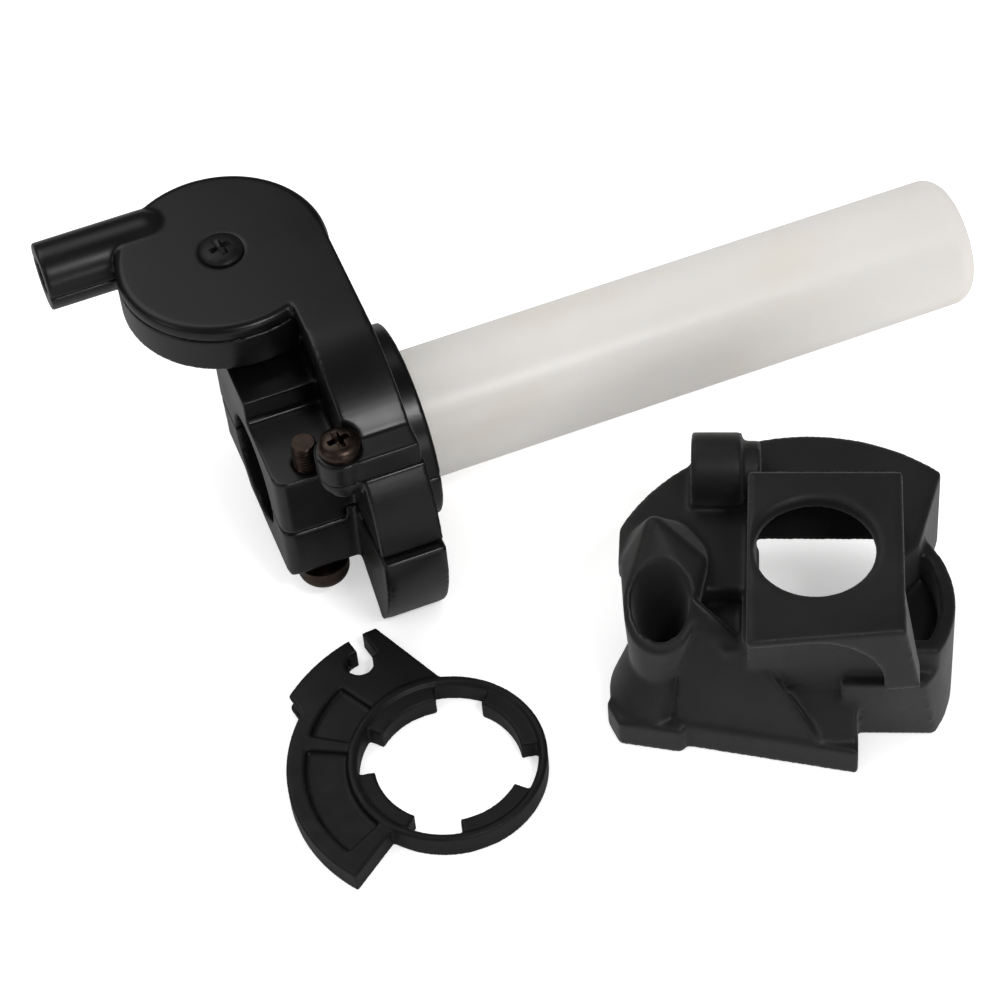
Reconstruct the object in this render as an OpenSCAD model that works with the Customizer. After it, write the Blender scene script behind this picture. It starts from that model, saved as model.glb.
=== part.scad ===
// Motorcycle throttle with a turned cable pulley, its spare cam and its loose rubber cover.
// X runs along the handlebar, outboard positive. Y points forward, from the rider to the pulley. Z is up.
// The origin is on the handlebar axis, at the clamp's inboard face.

/* [Handlebar clamp] */
// Diameter of the handlebar that the clamp grips
bar_d = 22.2; // [22:0.1:22.4]
// Length of the clamp along the handlebar
clamp_w = 14.9; // [14:0.1:16]
// Distance from the bar axis to the clamp's rider-side wall
clamp_front = 19; // [18.6:0.1:20]
// Distance from the bar axis to the clamp's forward wall
clamp_rear = 21; // [20.5:0.1:22]
// Height of the front bolt flange above the bar axis
flange_z = 14.8; // [14:0.1:16]
// Height of the raised block behind the flange
block_z = 20.4; // [19.5:0.1:21]
// Depth of the lower half below the bar axis, under the front bolt
clamp_drop = 13.6; // [13.4:0.1:15]
// Depth of the lower half below the bar axis, under the rear bolt
rear_drop = 10.2; // [9.5:0.1:11]
// Gap between the two clamp halves
split_gap = 0.3; // [0.1:0.05:0.5]
// Distance from the bar axis to each clamp bolt
bolt_y = 15; // [14.8:0.1:15.2]
// Thread diameter of the clamp bolts
bolt_d = 5; // [4.8:0.1:5.2]

/* [Cam chamber] */
// Outer radius of the chamber's curved wall, about the bar axis
chamber_r = 34.3; // [34:0.1:34.6]
// Length of the chamber along the handlebar
chamber_w = 12.3; // [12.2:0.1:13]
// Thickness of the chamber's walls
wall = 1.8; // [1.5:0.1:2]
// Outer radius of the chin that shields the open cam
chin_r = 36; // [35.8:0.1:37.5]
// Height of the chin's top edge above the bar axis
chin_top = 3.2; // [3:0.1:6]
// Angle that the chin reaches below the horizontal
chin_sweep = 39; // [30:1:42]
// Radius of the outboard collar
collar_r = 19.6; // [19:0.1:21]
// Length of the outboard collar along the handlebar
collar_w = 5.1; // [4:0.1:7]

/* [Pulley cover] */
// Height of the cover's flat top above the bar axis
top_z = 34; // [33.8:0.1:34.4]
// Outer radius of the round pulley case
dome_r = 20.9; // [20.6:0.1:21.4]
// Height of the round pulley case
dome_h = 11; // [10.5:0.1:11.5]
// Forward distance from the bar axis to the pulley axis
pulley_y = 25.9; // [25.6:0.1:26.4]
// Height of the cover's side rim
rim_h = 3; // [2.5:0.1:3.4]
// Radius of the rounded edge on the cover
rim_round = 1.4; // [0.8:0.1:1.6]
// Thickness of the cover's top plate
plate_t = 2; // [1.8:0.1:2.1]
// Height of the pulley's mid plane below the cover's top
pulley_drop = 5.7; // [5.6:0.05:5.8]
// Outer radius of the cable outlet
outlet_r = 6.8; // [6:0.1:7]
// Distance that the outlet reaches inboard of the clamp face
outlet_reach = 27; // [22:0.5:32]
// Bore diameter of the outlet's ferrule seat
ferrule_d = 7; // [6:0.1:8]
// Depth of the outlet's ferrule seat
ferrule_depth = 9; // [6:0.5:10]

/* [Pulley] */
// Radius at which the cable's centre runs on the pulley
groove_r = 13.3; // [13:0.1:13.5]
// Thickness of the pulley
pulley_t = 4; // [3.6:0.1:4.2]
// Diameter of the throttle cable's inner wire
cable_d = 2; // [1.5:0.1:2.2]

/* [Throttle tube] */
// Outer diameter of the throttle tube
tube_d = 26; // [25:0.1:26.4]
// Distance from the clamp face to the tube's closed end
tube_end = 149.7; // [130:0.1:155]
// Bore diameter of the throttle tube
tube_bore_d = 22.5; // [22.5:0.05:22.8]

/* [Cams] */
// Outer radius of the cam's ring
ring_r = 18.8; // [18.6:0.1:19]
// Radius of the notches inside the ring
notch_r = 17; // [16.8:0.1:17.2]
// Radius inside the ring's driving teeth
tooth_r = 13.9; // [13.9:0.05:14.2]
// Angle that each notch covers
notch_angle = 36; // [30:1:42]
// Thickness of a cam
cam_t = 5.2; // [5:0.1:5.3]
// Rim radius of the spare cam beside its cable slot
spare_rim = 34.4; // [33:0.1:35]
// Rim radius of the fitted cam beside its cable slot
fitted_rim = 30.3; // [29:0.1:30.5]
// Rim growth of a cam from the start to the end of its spiral
spiral_rise = 0.3; // [0:0.1:1]
// Angle of the fitted cam's cable slot above the forward direction, throttle closed
slot_closed = 108; // [100:1:112]

/* [Loose parts] */
// Position of the spare cam along the handlebar
spare_x = 14.1; // [0:0.1:20]
// Position of the spare cam in front of the bar axis
spare_y = -67; // [-90:0.1:-65]
// Turn of the spare cam about the vertical
spare_turn = 106.1; // [90:0.1:130]
// Position of the rubber cover along the handlebar
cover_x = 84.1; // [80:0.1:110]
// Position of the rubber cover in front of the bar axis
cover_y = -78; // [-95:0.1:-70]
// Turn of the rubber cover about the vertical
cover_turn = -24; // [-40:1:0]

/* [Rubber cover] */
// Height of the rubber cover as it lies
cover_h = 46; // [44:0.5:48]
// Height of the deck around the rubber cover's box
cover_deck_h = 30; // [28:0.5:32]
// Outer radius of the rubber cover's drum
cover_drum_r = 39; // [37:0.5:40]
// Height of the lip around the rubber cover's foot
cover_lip_h = 7; // [5:0.5:9]
// Diameter of the rubber cover's handlebar hole
cover_bore_d = 22; // [20:0.1:22.2]

/* [Hidden] */
$fn = 96;
eps = 0.02;
lap = 0.4;
big = 200;

// Clamp and chamber stations along X
bar_r = bar_d / 2;
bolt_x = clamp_w / 2;
bolt_r = bolt_d / 2;
hole_r = bolt_r + 0.1;
chamber_x0 = clamp_w;
chamber_x1 = clamp_w + chamber_w;
room_x0 = chamber_x0 + 1.3;
room_x1 = chamber_x1 - wall;
room_r = chamber_r - wall;
collar_x = chamber_x1 + collar_w;
cap_edge_x = clamp_w - 2.1;
cap_edge_y = -(clamp_front - 2);
forward_drop = 34;
ring_room_r = ring_r + 1;
lower_hub_r = ring_room_r + wall;
half_gap = split_gap / 2;
corner_r = 2.7;
chin_x0 = clamp_w + 0.8;
chin_start = 189;
chin_past = 185 + chin_sweep;
block_y = -1.2;
neck_y = 9;
neck_end_y = 33;
foot_chamfer = 1.6;

// Tube hub, cam and thrust washer stations along X
washer_t = 0.7;
cam_x0 = room_x0 + washer_t + 0.1;
cam_x1 = cam_x0 + cam_t;
cable_x = cam_x0 + cam_t / 2;
flange_x1 = room_x1 - washer_t - 0.2;
flange_r = 18.6;
tube_r = tube_d / 2;
tube_bore_r = tube_bore_d / 2;
hub_r = tooth_r - 0.1;
tube_fillet = 4;
journal_r = tube_r + 0.6;
journal_end = collar_x + 0.4;
collar_bore_r = journal_r + 0.08;

// Pulley case heights
pulley_x = cable_x - groove_r;
pulley_z = top_z - pulley_drop;
outlet_y = pulley_y + groove_r;
ridge_x = pulley_x - groove_r / 2 - 5;
case_z0 = top_z - dome_h;
floor_t = 2.5;
floor_z = case_z0 + floor_t;
rim_z = top_z - rim_h;
plate_z = top_z - plate_t;
case_wall = 1.8;
case_room_r = dome_r - case_wall;
outlet_split_x = pulley_x - dome_r * cos(asin(groove_r / dome_r)) + 1;

// Pulley, bush, post and washers
pulley_r = groove_r + 1.5;
post_r = 4;
bush_r = 5.5;
running = 0.05;
thin_t = 0.4;
pulley_z0 = pulley_z - pulley_t / 2;

// Cover arm over the cam, about the bar axis
arm_x0 = clamp_w - 0.6;
arm_x1 = chamber_x1 - 0.6;
arm_wall = 1.7;
skirt_r = 28.5;
arm_end_y = 5;
ledge_z = 25.4;
ledge_h = 5.6;
ledge_y = -28.1;
ledge_back_y = -20;
part_z = ledge_z - ledge_h;
seam = 0.1;

// Cover ear and its screw
ear_r = 5;
ear_x = 12.5;
ear_y = -23.2;
boss_drop = 4.6;
boss_r = 3.6;
ear_base_h = 2.4;
ear_screw_r = 2;
ear_head_r = 4.2;
ear_head_h = 2.9;
lid_screw_r = 2;
lid_head_r = 4.4;
lid_head_h = 1.5;
lid_recess = 0.2;
lid_screw_l = 7.5;
head_gap = 0.2;

// Angles of a cam from its cable slot: leading edge, end of the slot block, start and end of the spiral
lead_angle = -12.4;
block_angle = 26.3;
spiral_angle = 30;
tail_angle = 110.2;
step_in = 4;

// Clamp bolt head and washer
bolt_head_r = 5.2;
bolt_head_h = 5;
bolt_washer_r = 5.3;
bolt_washer_t = 1;
bolt_reach = flange_z + 6 + clamp_drop;

// The loose parts lie level with the chin's lowest edge
ground_z = -chin_r * sin(chin_sweep);

// Rubber cover: box corners, arch under its overhanging front, and the wall set back under it
cover_skin = 3;
thin_skin = 1.5;
box_low_x = -12.2;
box_high_x = 16;
box_high_y = 17.5;
box_front_low_y = -22.3;
box_front_high_y = -19;
corner_lean = 3;
arch_h = 44;
arch_x = 12.5;
arch_r = 14;
corner_h = 28.5;
recess_top_y = -14.5;
recess_low_y = -9;

// Rubber cover: shelf, step and bulge beside the bar, drum, sleeve
shelf_h = 15;
shelf_low_x = -4.8;
shelf_high_x = 8;
lip_back_y = -15.8;
step_x = 5;
step_y = -12.6;
cover_step_h = 20.5;
bulge_at = [3, 3];
cover_bulge_r = 23;
cover_rim_h = 26;
pocket_h = 19;
drum_foot_h = 9;
drum_front_y = 8;
drum_left_x = -35.4;
drum_right_x = 25;
mouth_tilt = 34;
mouth = [-28.3, -2.7, 30.5];
waist = [-29, -1, 15];
blob_fn = 32;
waist_bore_r = 3.7;
hole_bevel = 0.8;

// ---------------------------------------------------------------- helpers

// Cylinder about the bar axis from x0 to x1
module bar_cylinder(r, x0, x1) {
    translate([x0, 0, 0]) rotate([0, 90, 0]) cylinder(r = r, h = x1 - x0);
}

// Extrusion along X of an outline drawn as (Y, Z)
module along_x(x0, x1) {
    translate([x0, 0, 0]) rotate([90, 0, 90]) linear_extrude(x1 - x0) children();
}

// Block between two opposite corners
module block(low, high) {
    translate(low) cube(high - low);
}

// Wedge from angle a0 to a1 that reaches well past the part
module wedge(a0, a1) {
    steps = ceil((a1 - a0) / 60);
    function ray(i) = big * [cos(a0 + (a1 - a0) * i / steps), sin(a0 + (a1 - a0) * i / steps)];
    polygon(concat([[0, 0]], [for (i = [0:steps]) ray(i)]));
}

// Pie slice of a true circle from angle a0 to a1
module slice(r, a0, a1) {
    intersection() {
        circle(r = r);
        wedge(a0, a1);
    }
}

// Curved band about the origin from angle a0 to a1
module band(r_in, r_out, a0, a1) {
    difference() {
        slice(r_out, a0, a1);
        circle(r = r_in);
    }
}

// Upright cylinder on the pulley axis
module on_pulley_axis(r, z0, z1) {
    translate([pulley_x, pulley_y, z0]) cylinder(r = r, h = z1 - z0);
}

// Horizontal cylinder on the cable outlet's axis
module on_outlet_axis(r, x0, x1) {
    translate([x0, outlet_y, pulley_z]) rotate([0, 90, 0]) cylinder(r = r, h = x1 - x0);
}

// Screw with a domed cross-recess head; the shank hangs down from z = 0
module domed_screw(shank_r, shank_h, head_r, head_h) {
    dome_ball = (head_r * head_r + head_h * head_h) / (2 * head_h);
    cross_w = head_r * 0.24;
    cross_l = head_r * 1.15;
    difference() {
        union() {
            translate([0, 0, -shank_h]) cylinder(r = shank_r, h = shank_h + eps);
            intersection() {
                translate([0, 0, head_h - dome_ball]) sphere(r = dome_ball);
                cylinder(r = head_r, h = head_h + 1);
            }
        }
        for (turn = [0, 90]) {
            rotate(turn) translate([0, 0, head_h]) cube([cross_l, cross_w, head_h * 1.2], center = true);
        }
    }
}

// ---------------------------------------------------------------- clamp and chamber outlines

// What is cut from the clamp's front inboard corner to round it
module corner_cut() {
    translate([0, -clamp_front, 0]) linear_extrude(big, center = true) difference() {
        translate([-1, -1]) square(corner_r + 1);
        translate([corner_r, corner_r]) circle(r = corner_r);
    }
}

// Upper clamp half and the neck that carries the pulley case, seen along X
module upper_clamp_outline() {
    neck_top = case_z0 + 1;
    polygon([
        [-clamp_front, 0], [-clamp_front, flange_z], [block_y, flange_z], [block_y, block_z], [neck_y, block_z],
        [neck_y, neck_top], [neck_end_y, neck_top], [neck_end_y, case_z0 - 2], [clamp_rear, 10], [clamp_rear, 0]
    ]);
}

// Lower clamp half, seen along X
module lower_clamp_outline() {
    polygon([
        [-clamp_front, 0], [-clamp_front, foot_chamfer - clamp_drop], [foot_chamfer - clamp_front, -clamp_drop],
        [7, 0.6 - clamp_drop], [9.5, -rear_drop],
        [clamp_rear - 1.4, -rear_drop], [clamp_rear - 0.8, -3], [clamp_rear, 0]
    ]);
}

// Side of the lower chamber on the inboard side, cut back to a straight edge above the chin
module cut_back_side() {
    polygon([
        [-chamber_r, chin_top], [-chamber_r, 1.5], [-28.6, -6.4], [-clamp_front, -clamp_drop],
        [0, -clamp_drop], [0, chin_top]
    ]);
}

// Full side of the upper chamber, seen along X
module upper_side() {
    intersection() {
        circle(r = chamber_r);
        translate([-big, 0]) square([2 * big, case_z0 + floor_t]);
    }
}

// Room inside the chamber, seen along X
module chamber_room() {
    circle(r = room_r);
    square([pulley_y, plate_z]);
}

// Volume that belongs to the cover, grown by the seam's clearance
module cover_zone(grow) {
    block([-big, -2, rim_z - grow], [big, big, big]);
    block([-big, outlet_y - outlet_r - 3, pulley_z - grow], [outlet_split_x + grow, big, big]);
    difference() {
        block([clamp_w - 10, -big, part_z - grow], [chamber_x1 + 1, arm_end_y + grow, big]);
        bar_cylinder(skirt_r - grow, 0, big);
    }
}

// Volume that belongs to the lower clamp half, grown by half of the split's gap
module cap_zone(grow) {
    block([-big, -big, -big], [big, big, grow - half_gap]);
    block([cap_edge_x - grow, -big, -big], [big, cap_edge_y + grow, chin_top + grow - half_gap]);
}

// Cable passage from the pulley case to the outlet's mouth
module outlet_passage() {
    mouth_x = -outlet_reach;
    on_outlet_axis(cable_d, mouth_x - 1, pulley_x);
    on_outlet_axis(ferrule_d / 2, mouth_x - 1, mouth_x + ferrule_depth);
}

// ---------------------------------------------------------------- housing castings

// Solid outer form of the upper housing, before it is hollowed and parted
module housing_form() {
    along_x(0, clamp_w + eps) upper_clamp_outline();
    along_x(chamber_x0, chamber_x1) upper_side();
    bar_cylinder(collar_r, chamber_x0, collar_x);
    on_pulley_axis(dome_r, case_z0, rim_z);
    on_outlet_axis(outlet_r, -outlet_reach, outlet_split_x + 2);
    translate([ear_x, ear_y, part_z - ear_base_h]) cylinder(r = ear_r - 0.2, h = ear_base_h);
    translate([ear_x, ear_y, part_z - boss_drop]) cylinder(r = boss_r, h = boss_drop);
    block([ear_x, ear_y - 3.2, part_z - boss_drop], [room_x0, -clamp_front + 1, part_z]);
}

// Hollows shared by the housing: bar bore, cam room, tube passage, case room and cable passage
module housing_hollows() {
    bar_cylinder(bar_r, -1, room_x0 + 1);
    along_x(room_x0, room_x1) chamber_room();
    bar_cylinder(collar_bore_r, room_x1 - 1, collar_x + 1);
    on_pulley_axis(case_room_r, floor_z, top_z - plate_t);
    outlet_passage();
}

module housing() {
    color([0.09, 0.09, 0.1]) difference() {
        housing_form();
        housing_hollows();
        corner_cut();
        cap_zone(split_gap);
        cover_zone(seam);
        on_pulley_axis(post_r, case_z0 + 0.4, floor_z + 1);
        translate([bolt_x, -bolt_y, -1]) cylinder(r = hole_r, h = flange_z + 2);
        translate([bolt_x, bolt_y, -1]) cylinder(r = hole_r, h = bolt_reach - rear_drop + 1.2);
        translate([ear_x, ear_y, part_z - boss_drop + 0.6]) cylinder(r = ear_screw_r + running, h = boss_drop);
    }
}

// Outer outline of the lower chamber with the chin, seen along X
module lower_outline() {
    slice(chamber_r, -forward_drop, 5);
    circle(r = lower_hub_r);
    slice(chin_r, 180 - asin(chin_top / chin_r), 180 + chin_sweep);
}

// Room inside the lower chamber, open downwards behind the chin, which thins out towards its end
module lower_room() {
    circle(r = ring_room_r);
    slice(room_r, 4 - forward_drop, 8);
    slice(room_r, 165, chin_past);
    slice(chin_r - wall, chin_start, chin_past);
}

// What is cut from the inboard side, out to a radius, so that the chin hangs free
module chin_relief(r) {
    difference() {
        slice(r, 170, chin_past);
        cut_back_side();
        circle(r = lower_hub_r);
    }
}

module clamp_cap() {
    color([0.09, 0.09, 0.1]) difference() {
        intersection() {
            union() {
                along_x(0, clamp_w) lower_clamp_outline();
                along_x(clamp_w - lap, chamber_x1) lower_outline();
                bar_cylinder(collar_r, chamber_x1 - lap, collar_x);
                block([cap_edge_x, -clamp_front, -1], [clamp_w, cap_edge_y, chin_top]);
            }
            cap_zone(0);
        }
        bar_cylinder(bar_r, -1, room_x0 + lap);
        along_x(room_x0, room_x1) lower_room();
        along_x(clamp_w + eps, chin_x0) chin_relief(chin_r + 1);
        along_x(chin_x0 - eps, room_x0 + lap) chin_relief(room_r);
        along_x(chin_x0 - eps, room_x0 + lap) difference() {
            slice(chin_r - wall, chin_start, chin_past);
            circle(r = lower_hub_r);
            cut_back_side();
        }
        corner_cut();
        bar_cylinder(collar_bore_r, room_x1 - lap, collar_x + 1);
        for (side = [-1, 1]) {
            translate([bolt_x, side * bolt_y, -big / 2]) cylinder(r = hole_r + 0.1, h = big);
        }
    }
}

// Solid outer form of the cover: round top, arm over the cam, front ledge, ear and outlet
module lid_form() {
    on_pulley_axis(dome_r, rim_z, top_z - rim_round);
    translate([pulley_x, pulley_y, top_z - rim_round]) rotate_extrude() {
        square([dome_r - rim_round, rim_round]);
        intersection() {
            translate([dome_r - rim_round, 0]) circle(r = rim_round, $fn = 48);
            square([dome_r, rim_round]);
        }
    }
    along_x(arm_x0, arm_x1) {
        intersection() {
            circle(r = top_z);
            translate([-big, part_z]) square([big + eps, big]);
        }
        translate([0, skirt_r]) square([pulley_y, top_z - skirt_r]);
    }
    block([arm_x0, ledge_y, part_z], [arm_x1, ledge_back_y, ledge_z]);
    translate([ear_x, ear_y, part_z]) cylinder(r = ear_r, h = ledge_h);
    on_outlet_axis(outlet_r, -outlet_reach, ridge_x);
    translate([ridge_x, outlet_y, pulley_z]) sphere(r = outlet_r);
}

module lid() {
    color([0.1, 0.1, 0.11]) difference() {
        intersection() {
            lid_form();
            cover_zone(0);
        }
        on_pulley_axis(case_room_r, 0, plate_z);
        difference() {
            along_x(arm_x0 + arm_wall, arm_x1 - arm_wall) chamber_room();
            block([0, ledge_y - 1, 0], [big, ledge_y + arm_wall, ledge_z]);
        }
        outlet_passage();
        on_pulley_axis(lid_screw_r + running, 0, big);
        on_pulley_axis(lid_head_r + head_gap, top_z - lid_recess, big);
        translate([ear_x, ear_y, 0]) cylinder(r = ear_screw_r + running, h = big);
        translate([ear_x, ear_y, ledge_z]) cylinder(r = ear_head_r + head_gap, h = big);
    }
}

// ---------------------------------------------------------------- fasteners

module lid_screw() {
    color([0.07, 0.07, 0.07]) translate([pulley_x, pulley_y, top_z - lid_recess]) {
        domed_screw(lid_screw_r, lid_screw_l, lid_head_r, lid_head_h);
    }
}

module ear_screw() {
    color([0.2, 0.13, 0.09]) translate([ear_x, ear_y, ledge_z]) rotate(20) {
        domed_screw(ear_screw_r, ledge_h + boss_drop - 1, ear_head_r, ear_head_h);
    }
}

// Seat height of a clamp bolt on the front (-1) or the rear (1) side
function bolt_seat(side) = side < 0 ? -clamp_drop : -rear_drop;

module clamp_bolts() {
    color([0.22, 0.14, 0.09]) for (side = [-1, 1]) {
        translate([bolt_x, side * bolt_y, bolt_seat(side) - bolt_washer_t]) rotate([180, 0, 30]) {
            domed_screw(bolt_r, bolt_reach + bolt_washer_t, bolt_head_r, bolt_head_h);
        }
    }
}

module clamp_washers() {
    color([0.22, 0.14, 0.09]) for (side = [-1, 1]) {
        translate([bolt_x, side * bolt_y, bolt_seat(side) - bolt_washer_t]) difference() {
            cylinder(r = bolt_washer_r, h = bolt_washer_t);
            translate([0, 0, -1]) cylinder(r = hole_r + 0.1, h = 3);
        }
    }
}

// ---------------------------------------------------------------- pulley

module pulley_post() {
    color("silver") difference() {
        on_pulley_axis(post_r, case_z0 + 0.4, plate_z);
        on_pulley_axis(lid_screw_r + running, case_z0 + 1.2, plate_z + 1);
    }
}

module pulley_washers() {
    upper_z = floor_z + 2 * thin_t + pulley_t + 1.2;
    color("silver") for (z = [floor_z, upper_z]) {
        difference() {
            on_pulley_axis(bush_r + 1.2, z, z + thin_t);
            on_pulley_axis(post_r + 0.1, z - 1, z + 1);
        }
    }
}

module pulley_bush() {
    bush_z0 = floor_z + thin_t + running;
    color([0.72, 0.53, 0.25]) difference() {
        on_pulley_axis(bush_r, bush_z0, bush_z0 + pulley_t + 1);
        on_pulley_axis(post_r + running, 0, big);
    }
}

module pulley() {
    groove_floor_r = groove_r - cable_d / 2;
    window_r = 1.7;
    window_count = 6;
    color([0.35, 0.35, 0.37]) difference() {
        on_pulley_axis(pulley_r, pulley_z0, pulley_z0 + pulley_t);
        on_pulley_axis(bush_r, 0, big);
        translate([pulley_x, pulley_y, pulley_z]) rotate_extrude() {
            polygon([
                [groove_floor_r, -cable_d * 0.4], [groove_floor_r, cable_d * 0.4],
                [pulley_r + 1, cable_d * 0.8], [pulley_r + 1, -cable_d * 0.8]
            ]);
        }
        for (i = [0:window_count - 1]) {
            translate([pulley_x, pulley_y, 0]) rotate(i * 360 / window_count) {
                translate([(bush_r + groove_floor_r) / 2, 0, 0]) cylinder(r = window_r, h = big);
            }
        }
    }
}

// ---------------------------------------------------------------- throttle tube and cams

module inner_washer() {
    color("ivory") difference() {
        bar_cylinder(hub_r + 2, room_x0, room_x0 + washer_t);
        bar_cylinder(bar_r + 0.3, 0, big);
    }
}

module outer_washer() {
    color("ivory") difference() {
        bar_cylinder(flange_r - 1, room_x1 - washer_t - 0.1, room_x1);
        bar_cylinder(journal_r + 0.3, 0, big);
    }
}

// Directions of the four driving lugs on the tube's hub, and of the notches that take them
module lug_wedges(angle) {
    for (i = [0:3]) {
        rotate(45 + 90 * i) wedge(-angle / 2, angle / 2);
    }
}

module throttle_tube() {
    lug_angle = notch_angle - 1;
    color([0.88, 0.86, 0.83]) difference() {
        union() {
            bar_cylinder(hub_r, cam_x0, cam_x1 + 1);
            bar_cylinder(flange_r, cam_x1 + 0.1, flange_x1);
            bar_cylinder(journal_r, flange_x1 - 1, journal_end);
            bar_cylinder(tube_r, journal_end - 1, tube_end - tube_fillet);
            bar_cylinder(tube_r - tube_fillet, tube_end - tube_fillet - 1, tube_end);
            translate([tube_end - tube_fillet, 0, 0]) rotate([0, 90, 0]) rotate_extrude() intersection() {
                translate([tube_r - tube_fillet, 0]) circle(r = tube_fillet, $fn = 48);
                translate([tube_r - tube_fillet - 0.5, 0]) square([tube_fillet + 1, tube_fillet]);
            }
            stand_cam(slot_closed) translate([0, 0, -lap]) linear_extrude(cam_t + lap - 0.2) difference() {
                intersection() {
                    circle(r = notch_r - 0.1);
                    lug_wedges(lug_angle);
                }
                circle(r = hub_r - 1);
            }
        }
        bar_cylinder(tube_bore_r, 0, tube_end - tube_fillet);
    }
}

// Stands a flat cam on the bar axis, marked face inboard, with its slot at an angle above forward
module stand_cam(slot_angle) {
    translate([cam_x1, 0, 0]) rotate([slot_angle - 90, 0, 0]) rotate([0, -90, 0]) children();
}

// Rim radius of a cam at an angle from its slot
function cam_radius(rim, a) =
    a <= block_angle ? rim
    : a <= spiral_angle ? rim - step_in * (a - block_angle) / (spiral_angle - block_angle)
    : rim - step_in + spiral_rise * (a - spiral_angle) / (tail_angle - spiral_angle);

// Outline of a cam's sector
module cam_sector(rim) {
    steps = 48;
    polygon(concat(
        [[0, 0], ring_r * [cos(lead_angle - 20), sin(lead_angle - 20)]],
        [for (i = [0:steps]) let (a = lead_angle + (tail_angle - lead_angle) * i / steps)
            cam_radius(rim, a) * [cos(a), sin(a)]]
    ));
}

// One cam lying flat, marked face up: a toothed ring, a sector and a keyhole for the cable nipple.
// The cable lies on the sector's rim and enters the higher block beside the keyhole through a groove.
module cam_body(rim) {
    slot_r = rim - 5.8;
    slot_hole_r = 2.7;
    groove_t = 2.4;
    pocket_t = 1.6;
    pocket_r = rim * 0.785;
    sector_drop = 0.35;
    teeth_drop = 0.6;
    difference() {
        union() {
            linear_extrude(cam_t) circle(r = ring_r);
            linear_extrude(cam_t - sector_drop) cam_sector(rim);
        }
        translate([0, 0, -1]) linear_extrude(cam_t + 2) {
            circle(r = tooth_r);
            intersection() {
                circle(r = notch_r);
                lug_wedges(notch_angle);
            }
            translate([slot_r, 0]) circle(r = slot_hole_r);
            rotate(-5) translate([slot_r, -1.5]) square([10, 3]);
        }
        translate([0, 0, cam_t - teeth_drop]) cylinder(r = notch_r + 0.4, h = 1);
        translate([0, 0, (cam_t - groove_t) / 2]) linear_extrude(groove_t) difference() {
            wedge(1, block_angle + 5);
            circle(r = rim - step_in + 0.1);
        }
        for (span = [[13, 39.5], [46.5, 101]]) {
            translate([0, 0, cam_t - pocket_t]) linear_extrude(pocket_t + 1) difference() {
                slice(pocket_r, span[0], span[1]);
                circle(r = ring_r + 0.2);
            }
        }
    }
}

module cam() {
    color([0.12, 0.12, 0.12]) stand_cam(slot_closed) cam_body(fitted_rim);
}

module spare_cam() {
    color([0.1, 0.1, 0.1]) translate([spare_x, spare_y, ground_z]) rotate(spare_turn) cam_body(spare_rim);
}

// ---------------------------------------------------------------- rubber cover

// Extrusion along Y of an outline drawn as (X, Z)
module along_y(y0, y1) {
    translate([0, y1, 0]) rotate([90, 0, 0]) linear_extrude(y1 - y0) children();
}

// Plan of the cover's drum over the cam chamber, with a slanted end on the right
module cover_drum_plan(inset) {
    low_y = drum_front_y + inset;
    translate([-1, 0.5]) intersection() {
        circle(r = cover_drum_r - inset);
        polygon([
            [drum_left_x + inset, low_y], [drum_right_x - 8 - inset, low_y],
            [drum_right_x - 4.5 - inset, low_y + 4.5], [drum_right_x - inset, 30],
            [drum_right_x - inset, big], [drum_left_x + inset, big]
        ]);
    }
}

// Plan of the bulge beside the bar, flat on its front
module cover_bulge_plan(inset) {
    intersection() {
        translate(bulge_at) circle(r = cover_bulge_r - inset);
        translate([-big, recess_low_y + inset]) square(2 * big);
    }
}

// Plan of the lip that stands on the ground under the sleeve
module cover_foot_plan() {
    polygon([
        [-39, -7], [-36.5, -11.8], [-24.8, -13.8], [-23.6, -12.4], [8.2, -18.3], [8.2, recess_low_y],
        [-20, 0], [-24, 8], [-33.5, 8], [-35.5, -1]
    ]);
}

// Drum over the cam chamber, open below and cut away under the sleeve's hood
module cover_drum() {
    difference() {
        translate([0, 0, drum_foot_h]) linear_extrude(cover_deck_h - drum_foot_h) cover_drum_plan(0);
        block([-big, 0, 0], [-29, 17, cover_deck_h - cover_skin - 2]);
    }
}

// Foot of the bulge under the box's right half; its front wall leans back towards the ground
module cover_step() {
    intersection() {
        translate([bulge_at[0], bulge_at[1], 0]) cylinder(r = cover_bulge_r, h = cover_step_h);
        along_x(step_x, big) {
            polygon([[recess_low_y, 0], [step_y, cover_step_h], [-6, cover_step_h], [-6, 0]]);
        }
    }
}

// Shelf that slopes from the wall under the box down to the lip
module cover_shelf() {
    along_x(shelf_low_x, shelf_high_x) difference() {
        polygon([
            [-6, 0], [lip_back_y, 0], [lip_back_y, cover_lip_h], [recess_low_y - 0.6, shelf_h], [-6, shelf_h]
        ]);
        polygon([[-7.5, -1], [-13, -1], [-13, cover_lip_h - 2], [-9, shelf_h - 3], [-7.5, shelf_h - 3]]);
    }
}

// Front of the box where it overhangs, arched on its underside, with a corner post on the right
module cover_overhang() {
    intersection() {
        along_y(box_front_low_y, recess_top_y + 1) difference() {
            polygon([[box_low_x, arch_h], [box_low_x, cover_h], [box_high_x, cover_h],
                     [box_high_x + corner_lean, corner_h], [arch_x, corner_h], [arch_x - arch_r, arch_h]]);
            translate([arch_x - arch_r, arch_h - arch_r]) circle(r = arch_r);
        }
        linear_extrude(big) polygon([
            [box_low_x - 1, box_front_low_y], [box_high_x + 4, box_front_high_y],
            [box_high_x + 4, 0], [box_low_x - 1, 0]
        ]);
    }
}

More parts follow.
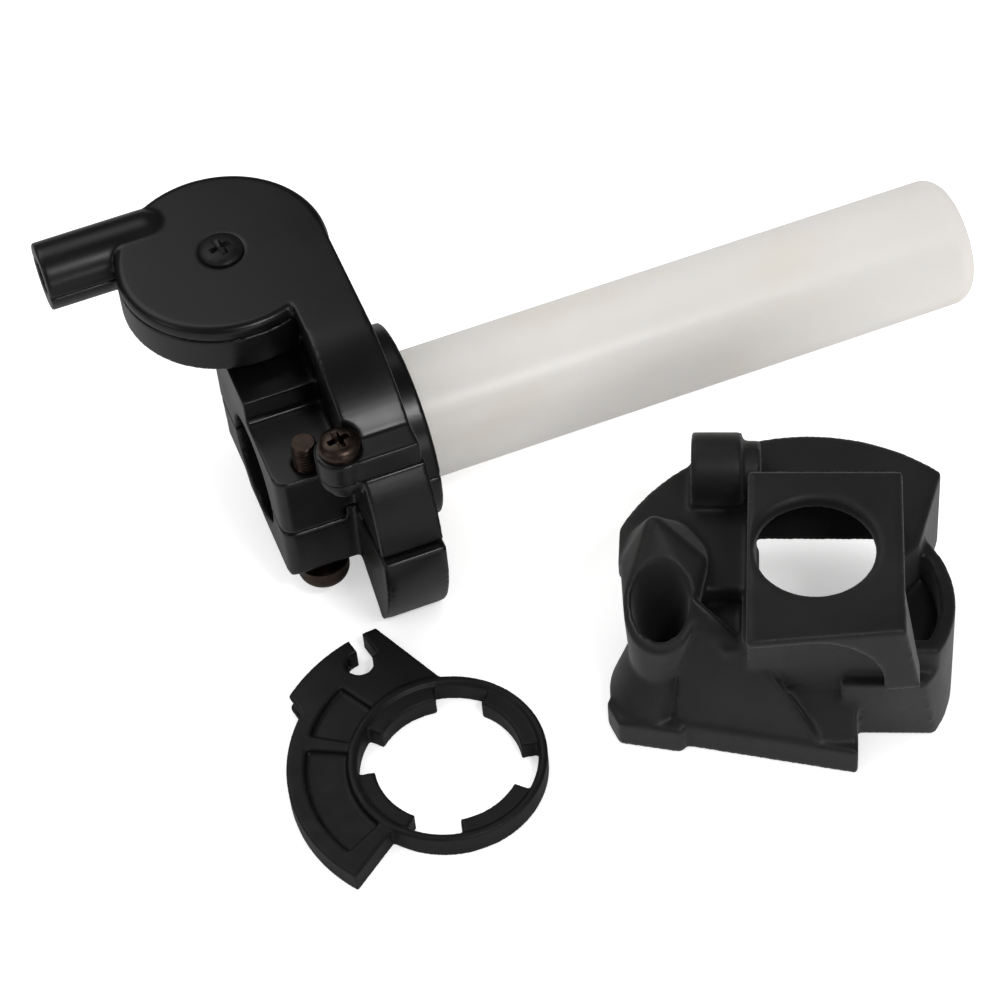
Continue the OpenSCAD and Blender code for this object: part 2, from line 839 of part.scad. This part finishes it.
// Post that joins the overhang's right corner to the bulge
module cover_corner_post() {
    hull() {
        translate([box_high_x + corner_lean - 2, -11, corner_h]) sphere(r = 1.5, $fn = blob_fn);
        translate([box_high_x + corner_lean - 2, box_front_high_y + 3, corner_h + 2]) sphere(r = 1.5, $fn = blob_fn);
        translate([box_high_x - 1.6, box_front_high_y + 3, cover_h - 2]) sphere(r = 1.5, $fn = blob_fn);
        translate([box_high_x - 1.6, -8, cover_h - 2]) sphere(r = 1.5, $fn = blob_fn);
        translate([box_high_x - 1.6, -7, cover_step_h]) sphere(r = 1.5, $fn = blob_fn);
    }
}

// Box over the handlebar hole; its front wall leans back under the overhang
module cover_box() {
    along_x(box_low_x, box_high_x) polygon([
        [recess_low_y, shelf_h - 1], [recess_top_y, arch_h], [recess_top_y, cover_h], [box_high_y, cover_h],
        [box_high_y, shelf_h - 1]
    ]);
}

// Room inside the box, open below
module cover_box_room() {
    along_x(box_low_x + thin_skin, box_high_x - cover_skin) polygon([
        [recess_low_y + 2.3, -1], [recess_low_y + 2.3, shelf_h], [recess_top_y + 2.4, cover_h - cover_skin],
        [box_high_y - thin_skin, cover_h - cover_skin], [box_high_y - thin_skin, -1]
    ]);
}

// Short barrel across the deck, with a smaller end
module cover_barrel() {
    translate([-23, 28, cover_deck_h + 3.2]) rotate([0, 90, 0]) {
        cylinder(r = 7.2, h = 9.5);
        cylinder(r = 5.6, h = 13);
    }
}

// Section of the sleeve at its waist
module sleeve_waist() {
    translate(waist) scale([0.92, 1.3, 1]) cylinder(r = 6, h = 1, $fn = blob_fn);
}

// Oval sleeve for the cable: flared foot, waist, tilted mouth and a hood that rises behind it
module cover_sleeve() {
    hull() {
        translate([-31, -3, 4]) scale([1, 1.2, 1]) cylinder(r = 7.5, h = 3, $fn = blob_fn);
        sleeve_waist();
    }
    hull() {
        sleeve_waist();
        translate(mouth) rotate([mouth_tilt, 0, 0]) scale([1, 1.26, 1]) cylinder(r = 6.7, h = 1, $fn = blob_fn);
        translate([-29.5, 11, 37.5]) sphere(r = 2, $fn = blob_fn);
        translate([-21.5, 6, 33]) sphere(r = 2, $fn = blob_fn);
        translate([-34, 8, 30]) sphere(r = 2, $fn = blob_fn);
        translate([-28, 13, 26]) scale([1.1, 1, 1]) cylinder(r = 7, h = 2, $fn = blob_fn);
    }
}

// Bore of the sleeve, wider towards its mouth
module sleeve_bore() {
    translate([waist[0] + 0.8, mouth[1] + 0.3, -1]) scale([1, 1.14, 1]) {
        cylinder(r = waist_bore_r, h = waist[2] + 2);
        translate([0, 0, waist[2]]) cylinder(r1 = waist_bore_r, r2 = waist_bore_r + 2.5, h = 26);
    }
}

// Web that falls in a curve from the sleeve to the lip
module cover_web() {
    hull() {
        for (ridge = [[-22.5, -2, 32.5], [-12.5, -8.2, 26], [-6, -11.8, 18], [0.6, -15.6, cover_lip_h - 0.6]]) {
            translate(ridge) sphere(r = 0.8, $fn = 24);
        }
        translate([-23, -4.5, 29]) sphere(r = 0.8, $fn = 24);
        linear_extrude(cover_lip_h - 0.5) polygon([[-26, -11.5], [0.5, -16.4], [-2, -11], [-13, -4], [-24, 3]]);
    }
}

// Walls behind the web: along the box's left side and across to the sleeve, with a narrow ledge
module cover_inner_walls() {
    block([box_low_x - 1, recess_low_y, 0], [box_low_x + 2, drum_front_y + 4, cover_deck_h]);
    block([box_low_x - 12, 2, 0], [box_low_x, 5, cover_deck_h]);
    block([box_low_x - 8, 2, cover_deck_h - cover_skin], [box_low_x, drum_front_y + 2, cover_deck_h]);
}

// Hollow body of the rubber cover, before the sleeve and web join it
module cover_shell() {
    difference() {
        union() {
            cover_drum();
            linear_extrude(cover_rim_h) cover_bulge_plan(0);
            linear_extrude(cover_lip_h) cover_foot_plan();
            cover_step();
            cover_box();
            cover_barrel();
            cover_corner_post();
        }
        translate([0, 0, -1]) linear_extrude(cover_deck_h - cover_skin + 1) cover_drum_plan(cover_skin);
        translate([0, 0, -1]) linear_extrude(pocket_h - cover_skin + 1) cover_bulge_plan(cover_skin);
        difference() {
            translate([0, 0, pocket_h]) linear_extrude(big) cover_bulge_plan(cover_skin);
            block([-big, -big, 0], [box_high_x, big, big]);
            linear_extrude(big) cover_drum_plan(0);
            cover_corner_post();
        }
        cover_box_room();
    }
}

module rubber_cover() {
    color([0.13, 0.12, 0.12]) translate([cover_x, cover_y, ground_z]) rotate(cover_turn) difference() {
        union() {
            cover_shell();
            cover_overhang();
            cover_shelf();
            cover_inner_walls();
            cover_sleeve();
            cover_web();
        }
        translate([0, 0, cover_h - cover_skin - 1]) cylinder(r = cover_bore_d / 2, h = big);
        translate([0, 0, cover_h - hole_bevel]) {
            cylinder(r1 = cover_bore_d / 2, r2 = cover_bore_d / 2 + hole_bevel, h = hole_bevel + eps);
        }
        sleeve_bore();
    }
}

housing();
clamp_cap();
lid();
lid_screw();
ear_screw();
clamp_bolts();
clamp_washers();
pulley_post();
pulley_washers();
pulley_bush();
pulley();
inner_washer();
outer_washer();
throttle_tube();
cam();
spare_cam();
rubber_cover();
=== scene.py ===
"""Looks of the throttle: softened castings, screws, tube, cams and rubber cover, floor, light and camera."""

import math

import bmesh
import bpy
from mathutils import Matrix, Vector

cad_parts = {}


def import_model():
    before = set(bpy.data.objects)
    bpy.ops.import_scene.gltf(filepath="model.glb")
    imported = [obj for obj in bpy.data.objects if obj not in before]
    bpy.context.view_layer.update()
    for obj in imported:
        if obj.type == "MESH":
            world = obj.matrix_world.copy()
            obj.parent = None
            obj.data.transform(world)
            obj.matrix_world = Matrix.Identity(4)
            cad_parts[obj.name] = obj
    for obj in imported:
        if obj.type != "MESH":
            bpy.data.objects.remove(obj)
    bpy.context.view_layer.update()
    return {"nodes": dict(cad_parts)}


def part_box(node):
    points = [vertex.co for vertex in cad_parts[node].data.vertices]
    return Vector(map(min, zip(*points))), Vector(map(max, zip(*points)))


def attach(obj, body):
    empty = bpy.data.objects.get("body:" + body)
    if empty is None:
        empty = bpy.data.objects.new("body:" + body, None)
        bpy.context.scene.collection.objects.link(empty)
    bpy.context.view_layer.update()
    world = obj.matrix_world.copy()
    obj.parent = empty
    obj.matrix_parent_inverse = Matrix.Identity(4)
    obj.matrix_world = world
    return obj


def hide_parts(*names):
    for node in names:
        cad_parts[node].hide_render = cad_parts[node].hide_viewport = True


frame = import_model()

# Lengths are in metres
MM = 0.001

# The loose pieces lie on the ground, and the floor is just under it
GROUND_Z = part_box("rubber_cover")[0].z
FLOOR_GAP = 0.02 * MM

# Screws and bolts
SCREW_RADIUS = 2.0 * MM
SCREW_PITCH = 0.7 * MM
BOLT_RADIUS = 2.5 * MM
BOLT_PITCH = 0.8 * MM
WASHER_THICKNESS = 1.0 * MM
HEAD_OVERLAP = 0.1 * MM

# Thread: depth and end chamfer as shares of the pitch, and how steeply its groove narrows
THREAD_DEPTH = 0.54
END_CHAMFER = 0.45
GROOVE_SLOPE = 2.6

# Cross sunk in a screw head: reach and arm width as shares of its radius, floor and top of its height
CROSS_REACH = 0.52
CROSS_WIDTH = 0.3
CROSS_FLOOR = 0.2
CROSS_TOP = 1.1

# Steps that the turned shapes are drawn with
ROD_COLUMNS = 48
ROWS_PER_TURN = 8
LEAST_ROWS = 12
HEAD_COLUMNS = 64
HEAD_ROWS = 20
SHARP_ANGLE = math.radians(30)


# ---------------------------------------------------------------- material helpers

class Nodes:
    """A new material's node tree, with short calls for the nodes this scene uses."""

    def __init__(self, name):
        self.material = bpy.data.materials.new(name)
        self.material.use_nodes = True
        self.tree = self.material.node_tree
        self.shader = self.tree.nodes["Principled BSDF"]
        self.coords = self.tree.nodes.new("ShaderNodeTexCoord").outputs["Object"]

    def add(self, kind, inputs=None, **settings):
        node = self.tree.nodes.new(kind)
        for key, value in settings.items():
            setattr(node, key, value)
        for key, value in (inputs or {}).items():
            self.feed(node.inputs[key], value)
        return node

    def feed(self, socket, value):
        if isinstance(value, bpy.types.NodeSocket):
            self.tree.links.new(value, socket)
        else:
            socket.default_value = value

    def set(self, **inputs):
        for key, value in inputs.items():
            self.feed(self.shader.inputs[key.replace("_", " ")], value)

    def noise(self, scale, detail=4.0, roughness=0.5, stretch=None):
        coords = self.coords
        if stretch:
            coords = self.add("ShaderNodeMapping", {"Vector": coords, "Scale": stretch}).outputs["Vector"]
        inputs = {"Vector": coords, "Scale": scale, "Detail": detail, "Roughness": roughness}
        return self.add("ShaderNodeTexNoise", inputs).outputs["Fac"]

    def remap(self, value, low, high, out_low, out_high):
        inputs = {"Value": value, "From Min": low, "From Max": high, "To Min": out_low, "To Max": out_high}
        return self.add("ShaderNodeMapRange", inputs, clamp=True).outputs["Result"]

    def mix(self, factor, first, second):
        node = self.add("ShaderNodeMix", data_type="RGBA")
        self.feed(node.inputs[0], factor)
        self.feed(node.inputs[6], first)
        self.feed(node.inputs[7], second)
        return node.outputs[2]

    def maths(self, operation, first, second):
        node = self.add("ShaderNodeMath", operation=operation)
        self.feed(node.inputs[0], first)
        self.feed(node.inputs[1], second)
        return node.outputs[0]

    def bump(self, height, strength, distance, under=None):
        inputs = {"Height": height, "Strength": strength, "Distance": distance}
        node = self.add("ShaderNodeBump", inputs)
        if under:
            self.feed(node.inputs["Normal"], under)
        return node.outputs["Normal"]

    def edges(self, width):
        """About 0 on flat faces and 1 where the surface turns sharply outward or inward."""
        bevel = self.add("ShaderNodeBevel", {"Radius": width}, samples=6).outputs["Normal"]
        normal = self.add("ShaderNodeNewGeometry").outputs["Normal"]
        dot = self.add("ShaderNodeVectorMath", {0: bevel, 1: normal}, operation="DOT_PRODUCT")
        return self.remap(dot.outputs["Value"], 0.985, 0.86, 0.0, 1.0)


def grey(value, warmth=0.0):
    return (value * (1 + warmth), value, value * (1 - warmth), 1.0)


# ---------------------------------------------------------------- materials

def satin_black_casting():
    """Black paint on a casting: satin sheen, fine orange peel, greyer on rubbed edges."""
    n = Nodes("satin_black_casting")
    cloud = n.noise(90, 5)
    grain = n.noise(2600, 2)
    rubbed = n.maths("MULTIPLY", n.edges(0.5 * MM), n.remap(n.noise(420, 4), 0.42, 0.7, 0.0, 1.0))
    base = n.mix(n.remap(cloud, 0.3, 0.7, 0.0, 1.0), grey(0.0025), grey(0.0045, 0.03))
    n.set(Base_Color=n.mix(n.maths("MULTIPLY", rubbed, 0.5), base, grey(0.06)))
    n.set(Roughness=n.remap(cloud, 0.3, 0.7, 0.27, 0.34), Specular_IOR_Level=0.5)
    n.set(Normal=n.bump(grain, 0.12, 0.04 * MM))
    return n.material


def satin_black_plastic():
    """Moulded black cover: smoother than the casting, with a slight spark texture."""
    n = Nodes("satin_black_plastic")
    cloud = n.noise(60, 4)
    grain = n.noise(3600, 3)
    rubbed = n.maths("MULTIPLY", n.edges(0.4 * MM), n.remap(n.noise(520, 4), 0.45, 0.7, 0.0, 1.0))
    base = n.mix(n.remap(cloud, 0.3, 0.7, 0.0, 1.0), grey(0.003), grey(0.005, 0.02))
    n.set(Base_Color=n.mix(n.maths("MULTIPLY", rubbed, 0.35), base, grey(0.05)))
    n.set(Roughness=n.remap(cloud, 0.3, 0.7, 0.28, 0.36), Specular_IOR_Level=0.45)
    n.set(Normal=n.bump(grain, 0.16, 0.04 * MM))
    return n.material


def black_nylon():
    """Black nylon of the cams: dull, with pale scuffs along its edges."""
    n = Nodes("black_nylon")
    cloud = n.noise(120, 5)
    scuffed = n.maths("MULTIPLY", n.edges(0.35 * MM), n.remap(n.noise(700, 4), 0.4, 0.65, 0.2, 1.0))
    base = n.mix(cloud, grey(0.003), grey(0.006))
    n.set(Base_Color=n.mix(n.maths("MULTIPLY", scuffed, 0.5), base, grey(0.08)))
    n.set(Roughness=n.remap(n.noise(240, 5), 0.3, 0.7, 0.42, 0.56), Specular_IOR_Level=0.35)
    n.set(Normal=n.bump(n.noise(1800, 3), 0.2, 0.05 * MM))
    return n.material


def moulded_rubber():
    """Matt black rubber: fine pores, pale bloom in broad patches and a painted highlight of paler grey along
    the edges.
    """
    n = Nodes("moulded_rubber")
    bloom = n.noise(55, 6, 0.6)
    streaks = n.noise(140, 5, 0.6, stretch=(1.0, 1.0, 0.35))
    pores = n.noise(2400, 3)
    base = n.mix(n.remap(bloom, 0.35, 0.7, 0.0, 1.0), grey(0.004, 0.05), grey(0.009, 0.04))
    # Painted highlight: paler grey on the edges stands in for light caught along the rounded edges of the
    # cover
    painted_edge_highlight = n.maths("MULTIPLY", n.edges(0.6 * MM), n.remap(n.noise(300, 4), 0.42, 0.7, 0.1, 0.8))
    n.set(Base_Color=n.mix(painted_edge_highlight, base, grey(0.07, 0.04)), Sheen_Weight=0.12, Sheen_Roughness=0.45)
    n.set(Roughness=n.remap(streaks, 0.3, 0.7, 0.42, 0.6), Specular_IOR_Level=0.45)
    coarse = n.bump(n.noise(260, 4), 0.25, 0.15 * MM)
    n.set(Normal=n.bump(pores, 0.3, 0.04 * MM, coarse))
    return n.material


def white_nylon():
    """Warm white nylon tube: light passes a little way in, with faint drawing lines along it."""
    n = Nodes("white_nylon")
    lines = n.noise(160, 4, stretch=(0.06, 1.0, 1.0))
    cloud = n.noise(26, 4)
    stain = n.remap(n.noise(48, 3, stretch=(0.6, 1.0, 1.0)), 0.58, 0.72, 0.0, 0.5)
    clean = n.mix(n.remap(cloud, 0.3, 0.7, 0.0, 1.0), (0.655, 0.632, 0.606, 1.0), (0.695, 0.67, 0.643, 1.0))
    n.set(Base_Color=n.mix(stain, clean, (0.66, 0.615, 0.54, 1.0)))
    n.set(Roughness=n.remap(lines, 0.3, 0.7, 0.3, 0.42), Specular_IOR_Level=0.45)
    n.set(Subsurface_Weight=0.6, Subsurface_Radius=(1.0, 0.85, 0.7), Subsurface_Scale=4 * MM)
    n.set(Normal=n.bump(lines, 0.12, 0.08 * MM))
    return n.material


def turned_metal(name, colour, roughness, metallic=1.0):
    """Turned or plated metal: fine rings, uneven plating and brighter worn edges."""
    n = Nodes(name)
    cloud = n.noise(500, 5)
    worn = n.maths("MULTIPLY", n.edges(0.2 * MM), n.remap(n.noise(1500, 3), 0.4, 0.6, 0.2, 1.0))
    dark = tuple(0.6 * c for c in colour) + (1.0,)
    bright = tuple(min(1.0, 2.2 * c) for c in colour) + (1.0,)
    base = n.mix(n.remap(cloud, 0.35, 0.65, 0.0, 1.0), dark, tuple(colour) + (1.0,))
    n.set(Base_Color=n.mix(n.maths("MULTIPLY", worn, 0.6), base, bright))
    n.set(Metallic=metallic, Roughness=n.remap(cloud, 0.3, 0.7, roughness - 0.06, roughness + 0.08))
    n.set(Normal=n.bump(n.noise(2500, 3), 0.15, 0.02 * MM))
    return n.material


CASTING = satin_black_casting()
LID_PLASTIC = satin_black_plastic()
NYLON = black_nylon()
RUBBER = moulded_rubber()
WHITE = white_nylon()
BRONZE_PLATE = turned_metal("bronze_plated_steel", (0.1, 0.073, 0.06), 0.38)
BLACK_OXIDE = turned_metal("black_oxide_steel", (0.02, 0.02, 0.02), 0.4, 0.6)
STEEL = turned_metal("turned_steel", (0.5, 0.5, 0.5), 0.3)
BRONZE = turned_metal("bush_bronze", (0.55, 0.36, 0.14), 0.34)
ALUMINIUM = turned_metal("turned_aluminium", (0.36, 0.36, 0.38), 0.34)


# ---------------------------------------------------------------- mesh helpers

def new_object(name, data):
    obj = bpy.data.objects.new(name, data)
    bpy.context.collection.objects.link(obj)
    return obj


def put(obj, node, material, body):
    """Gives a finished piece its material and body, and hides the CAD node that it stands for."""
    obj.data.materials.clear()
    obj.data.materials.append(material)
    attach(obj, body)
    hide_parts(node)
    return obj


def copy_node(node, name):
    """A free copy of a CAD node's mesh, welded so that it can be worked on."""
    source = frame["nodes"][node]
    mesh = source.data.copy()
    mesh.name = name
    work = bmesh.new()
    work.from_mesh(mesh)
    bmesh.ops.remove_doubles(work, verts=work.verts, dist=0.002 * MM)
    work.to_mesh(mesh)
    work.free()
    return new_object(name, mesh)


def apply_modifiers(obj):
    depsgraph = bpy.context.evaluated_depsgraph_get()
    mesh = bpy.data.meshes.new_from_object(obj.evaluated_get(depsgraph))
    obj.modifiers.clear()
    old = obj.data
    obj.data = mesh
    bpy.data.meshes.remove(old)
    return obj


def soften(obj, voxel, passes, keep=1.0):
    """Rounds every edge as a mould does: voxel remesh, smoothing, then thinning to a share of the faces."""
    remesh = obj.modifiers.new("remesh", "REMESH")
    remesh.mode = "VOXEL"
    remesh.voxel_size = voxel
    remesh.use_smooth_shade = True
    smooth = obj.modifiers.new("smooth", "SMOOTH")
    smooth.factor = 0.5
    smooth.iterations = passes
    if keep < 1.0:
        thin = obj.modifiers.new("thin", "DECIMATE")
        thin.ratio = keep
    apply_modifiers(obj)
    obj.data.shade_smooth()
    return obj


def object_from(work, name):
    """A new object with the bmesh as its mesh, its faces turned outward."""
    bmesh.ops.recalc_face_normals(work, faces=work.faces)
    mesh = bpy.data.meshes.new(name)
    work.to_mesh(mesh)
    work.free()
    return new_object(name, mesh)


def grid_solid(name, rows, columns, point):
    """A closed solid of stacked rings: point(row, column) gives each vertex, and both ends are capped."""
    work = bmesh.new()
    rings = [[work.verts.new(point(row, column)) for column in range(columns)] for row in range(rows)]
    for lower, upper in zip(rings, rings[1:]):
        for column in range(columns):
            after = (column + 1) % columns
            work.faces.new((lower[column], lower[after], upper[after], upper[column]))
    work.faces.new(rings[0])
    work.faces.new(rings[-1])
    return object_from(work, name)


def join(objects, name):
    """One object made of several, with their places applied."""
    work = bmesh.new()
    for obj in objects:
        part = obj.data.copy()
        part.transform(obj.matrix_world)
        work.from_mesh(part)
        bpy.data.meshes.remove(part)
        bpy.data.objects.remove(obj)
    mesh = bpy.data.meshes.new(name)
    work.to_mesh(mesh)
    work.free()
    return new_object(name, mesh)


# ---------------------------------------------------------------- fasteners

def threaded_rod(radius, length, pitch):
    """A rod up from z = 0 with one helical thread and a chamfered far end."""
    rows = max(LEAST_ROWS, int(length / pitch * ROWS_PER_TURN))

    def point(row, column):
        z = length * row / (rows - 1)
        turn = column / ROD_COLUMNS
        phase = (z / pitch - turn) % 1.0
        groove = max(0.0, 1.0 - abs(phase - 0.5) * GROOVE_SLOPE)
        r = radius - THREAD_DEPTH * pitch * groove
        r = min(r, radius - END_CHAMFER * pitch + length - z)
        return (r * math.cos(math.tau * turn), r * math.sin(math.tau * turn), z)

    obj = grid_solid("rod", rows, ROD_COLUMNS, point)
    obj.data.shade_smooth()
    obj.data.set_sharp_from_angle(angle=SHARP_ANGLE)
    return obj


def cross_outline(reach, half):
    """Corners of a cross with arms out to reach, going round once."""
    arm = [(reach, -half), (reach, half), (half, half)]
    return [Matrix.Rotation(turn * math.pi / 2, 2) @ Vector(corner) for turn in range(4) for corner in arm]


def cross_cutter(reach, width, z_low, z_high):
    """A cross that narrows downwards, as a cross-head driver does."""
    low = [(x, y, z_low) for x, y in cross_outline(0.45 * reach, 0.36 * width)]
    high = [(x, y, z_high) for x, y in cross_outline(1.1 * reach, 0.52 * width)]
    rings = (low, high)
    return grid_solid("cutter", len(rings), len(low), lambda row, column: rings[row][column])


def screw_head(radius, height, rim, squareness):
    """A cross-head that sits on z = 0: an upright rim, a crowned top and a tapered cross sunk in it."""
    foot_radius = 0.97 * radius
    foot_z = -0.05 * MM
    top_lift = math.radians(88)

    def point(row, column):
        angle = math.tau * column / HEAD_COLUMNS
        if row == 0:
            return (foot_radius * math.cos(angle), foot_radius * math.sin(angle), foot_z)
        lift = top_lift * (row - 1) / (HEAD_ROWS - 2)
        r = radius * math.cos(lift) ** squareness
        return (r * math.cos(angle), r * math.sin(angle), rim + (height - rim) * math.sin(lift))

    head = grid_solid("head", HEAD_ROWS, HEAD_COLUMNS, point)
    reach, width = CROSS_REACH * radius, CROSS_WIDTH * radius
    cutter = cross_cutter(reach, width, CROSS_FLOOR * height, CROSS_TOP * height)
    cut = head.modifiers.new("cross", "BOOLEAN")
    cut.operation = "DIFFERENCE"
    cut.solver = "EXACT"
    cut.object = cutter
    apply_modifiers(head)
    bpy.data.objects.remove(cutter)
    return soften(head, voxel=0.1 * MM, passes=2, keep=0.35)


def place(obj, position, turn=0.0, flipped=False):
    """Stands a fastener at a point, turned about its axis by some degrees and, if flipped, head down."""
    obj.matrix_world = (
        Matrix.Translation(position)
        @ Matrix.Rotation(math.pi if flipped else 0.0, 4, "X")
        @ Matrix.Rotation(math.radians(turn), 4, "Z")
    )
    bpy.context.view_layer.update()
    return obj


def cross_screw(node, material, height, rim, squareness, turn):
    """A cross-head screw in the place and size of its CAD node."""
    low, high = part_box(node)
    x, y = (low.x + high.x) / 2, (low.y + high.y) / 2
    seat = high.z - height
    head = screw_head((high.x - low.x) / 2, height, rim, squareness)
    rod = threaded_rod(SCREW_RADIUS, seat - low.z + HEAD_OVERLAP, SCREW_PITCH)
    place(head, (x, y, seat), turn)
    place(rod, (x, y, seat + HEAD_OVERLAP), flipped=True)
    return put(join([head, rod], node + "_cut"), node, material, "clamp")


def clamp_bolts():
    """Both clamp bolts: crowned heads under the lower half, threaded ends standing out above the upper."""
    low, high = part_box("clamp_bolts")
    washer_low, washer_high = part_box("clamp_washers")
    head_r = (high.x - low.x) / 2
    x = (low.x + high.x) / 2
    front_seat = washer_low.z
    rear_seat = washer_high.z - WASHER_THICKNESS
    reach = high.z - rear_seat
    parts = []
    for y, seat in ((low.y + head_r, front_seat), (high.y - head_r, rear_seat)):
        head = screw_head(head_r, front_seat - low.z, rim=1.6 * MM, squareness=0.7)
        parts.append(place(head, (x, y, seat), turn=30, flipped=True))
        parts.append(place(threaded_rod(BOLT_RADIUS, reach, BOLT_PITCH), (x, y, seat)))
    return put(join(parts, "clamp_bolts_cut"), "clamp_bolts", BRONZE_PLATE, "clamp")


# ---------------------------------------------------------------- pieces

def cast_piece(node, material, body="clamp", voxel=0.4 * MM, passes=6, keep=0.45):
    """A CAD node's own shape with its edges rounded."""
    obj = soften(copy_node(node, node + "_cast"), voxel, passes, keep)
    return put(obj, node, material, body)


cast_piece("housing", CASTING)
cast_piece("clamp_cap", CASTING, passes=10)
cast_piece("lid", LID_PLASTIC)
cast_piece("spare_cam", NYLON, body="loose_cam", voxel=0.3 * MM, passes=3)
cast_piece("rubber_cover", RUBBER, body="loose_cover", voxel=0.5 * MM, passes=9)
cross_screw(
    "lid_screw", BLACK_OXIDE, height=1.5 * MM, rim=0.45 * MM, squareness=0.75, turn=12
)
cross_screw(
    "ear_screw", BRONZE_PLATE, height=2.9 * MM, rim=0.9 * MM, squareness=0.62, turn=8
)
clamp_bolts()

# Nodes that keep their CAD mesh
for node, material in [
    ("clamp_washers", BRONZE_PLATE), ("pulley_post", STEEL), ("pulley_washers", STEEL),
    ("pulley_bush", BRONZE), ("pulley", ALUMINIUM), ("inner_washer", WHITE), ("outer_washer", WHITE),
    ("throttle_tube", WHITE), ("cam", NYLON),
]:
    for slot in frame["nodes"][node].material_slots:
        slot.material = material


# ---------------------------------------------------------------- floor, light and camera

# How pale the floor shows in glossy surfaces, and how strongly it glows
FLOOR_REFLECTED = 0.4
FLOOR_GLOW = 0.4
FLOOR_SIZE = 6

# How strongly the white surroundings light the scene, and how strongly they show in glossy surfaces
WORLD_LIGHT = 0.84
WORLD_REFLECTED = 0.05

# Camera: viewing angles in degrees, place and lens
AZIMUTH = -16.34
ELEVATION = 50.69
ROLL = -5.894
CAMERA_PLACE = (-0.07671, -0.42899, 0.51185)
LENS = 124.0
SENSOR_WIDTH = 36.0


def floor():
    """A pale light table: it glows a little, and shows more faintly in glossy surfaces."""
    bpy.ops.mesh.primitive_plane_add(size=FLOOR_SIZE, location=(0, 0, GROUND_Z - FLOOR_GAP))
    obj = bpy.context.active_object
    obj.name = "floor"
    n = Nodes("pale_floor")
    glossy = n.add("ShaderNodeLightPath").outputs["Is Glossy Ray"]
    pale = n.mix(n.noise(3, 2), grey(0.93), grey(0.95))
    n.set(Base_Color=n.mix(glossy, pale, grey(FLOOR_REFLECTED)))
    n.set(Roughness=1.0, Specular_IOR_Level=0.0, Emission_Color=grey(1.0))
    n.set(Emission_Strength=n.remap(glossy, 0.0, 1.0, FLOOR_GLOW, 0.0))
    obj.data.materials.append(n.material)


def world():
    """White surroundings that light the scene fully, but show more faintly in glossy surfaces."""
    surroundings = bpy.data.worlds.new("studio")
    surroundings.use_nodes = True
    tree = surroundings.node_tree
    background = tree.nodes["Background"]
    background.inputs["Color"].default_value = grey(1.0)
    path = tree.nodes.new("ShaderNodeLightPath")
    strength = tree.nodes.new("ShaderNodeMapRange")
    strength.inputs["To Min"].default_value = WORLD_LIGHT
    strength.inputs["To Max"].default_value = WORLD_REFLECTED
    tree.links.new(path.outputs["Is Glossy Ray"], strength.inputs["Value"])
    tree.links.new(strength.outputs["Result"], background.inputs["Strength"])
    bpy.context.scene.world = surroundings


def soft_light(name, position, aim, width, height, power):
    data = bpy.data.lights.new(name, "AREA")
    data.shape = "RECTANGLE"
    data.size = width
    data.size_y = height
    data.energy = power
    obj = new_object(name, data)
    obj.location = position
    obj.rotation_euler = (Vector(aim) - Vector(position)).to_track_quat("-Z", "Y").to_euler()


def studio():
    """The surroundings and four soft lights. The key light shows on the arm of the lid."""
    world()
    centre = (0.06, -0.03, 0.0)
    arm = (0.02, -0.02, 0.03)
    soft_light("top_back", (-0.2, 0.5, 0.8), aim=centre, width=0.7, height=0.5, power=1.7)
    soft_light("key", (0.17, -0.46, 0.68), aim=arm, width=0.16, height=0.1, power=1.5)
    soft_light("low_front", (0.1, -0.8, 0.25), aim=centre, width=0.3, height=0.12, power=0.45)
    soft_light("left", (-0.7, -0.1, 0.45), aim=centre, width=0.2, height=0.4, power=0.4)
    bpy.context.scene.view_settings.view_transform = "Standard"


def camera():
    data = bpy.data.cameras.new("camera")
    data.sensor_width = SENSOR_WIDTH
    data.lens = LENS
    data.clip_start = 0.01
    data.clip_end = 20
    obj = new_object("camera", data)
    a, e = math.radians(AZIMUTH), math.radians(ELEVATION)
    back = Vector((math.sin(a) * math.cos(e), -math.cos(a) * math.cos(e), math.sin(e)))
    turn = (-back).to_track_quat("-Z", "Y").to_matrix() @ Matrix.Rotation(math.radians(ROLL), 3, "Z")
    obj.matrix_world = Matrix.Translation(CAMERA_PLACE) @ turn.to_4x4()
    bpy.context.scene.camera = obj


floor()
studio()
camera()
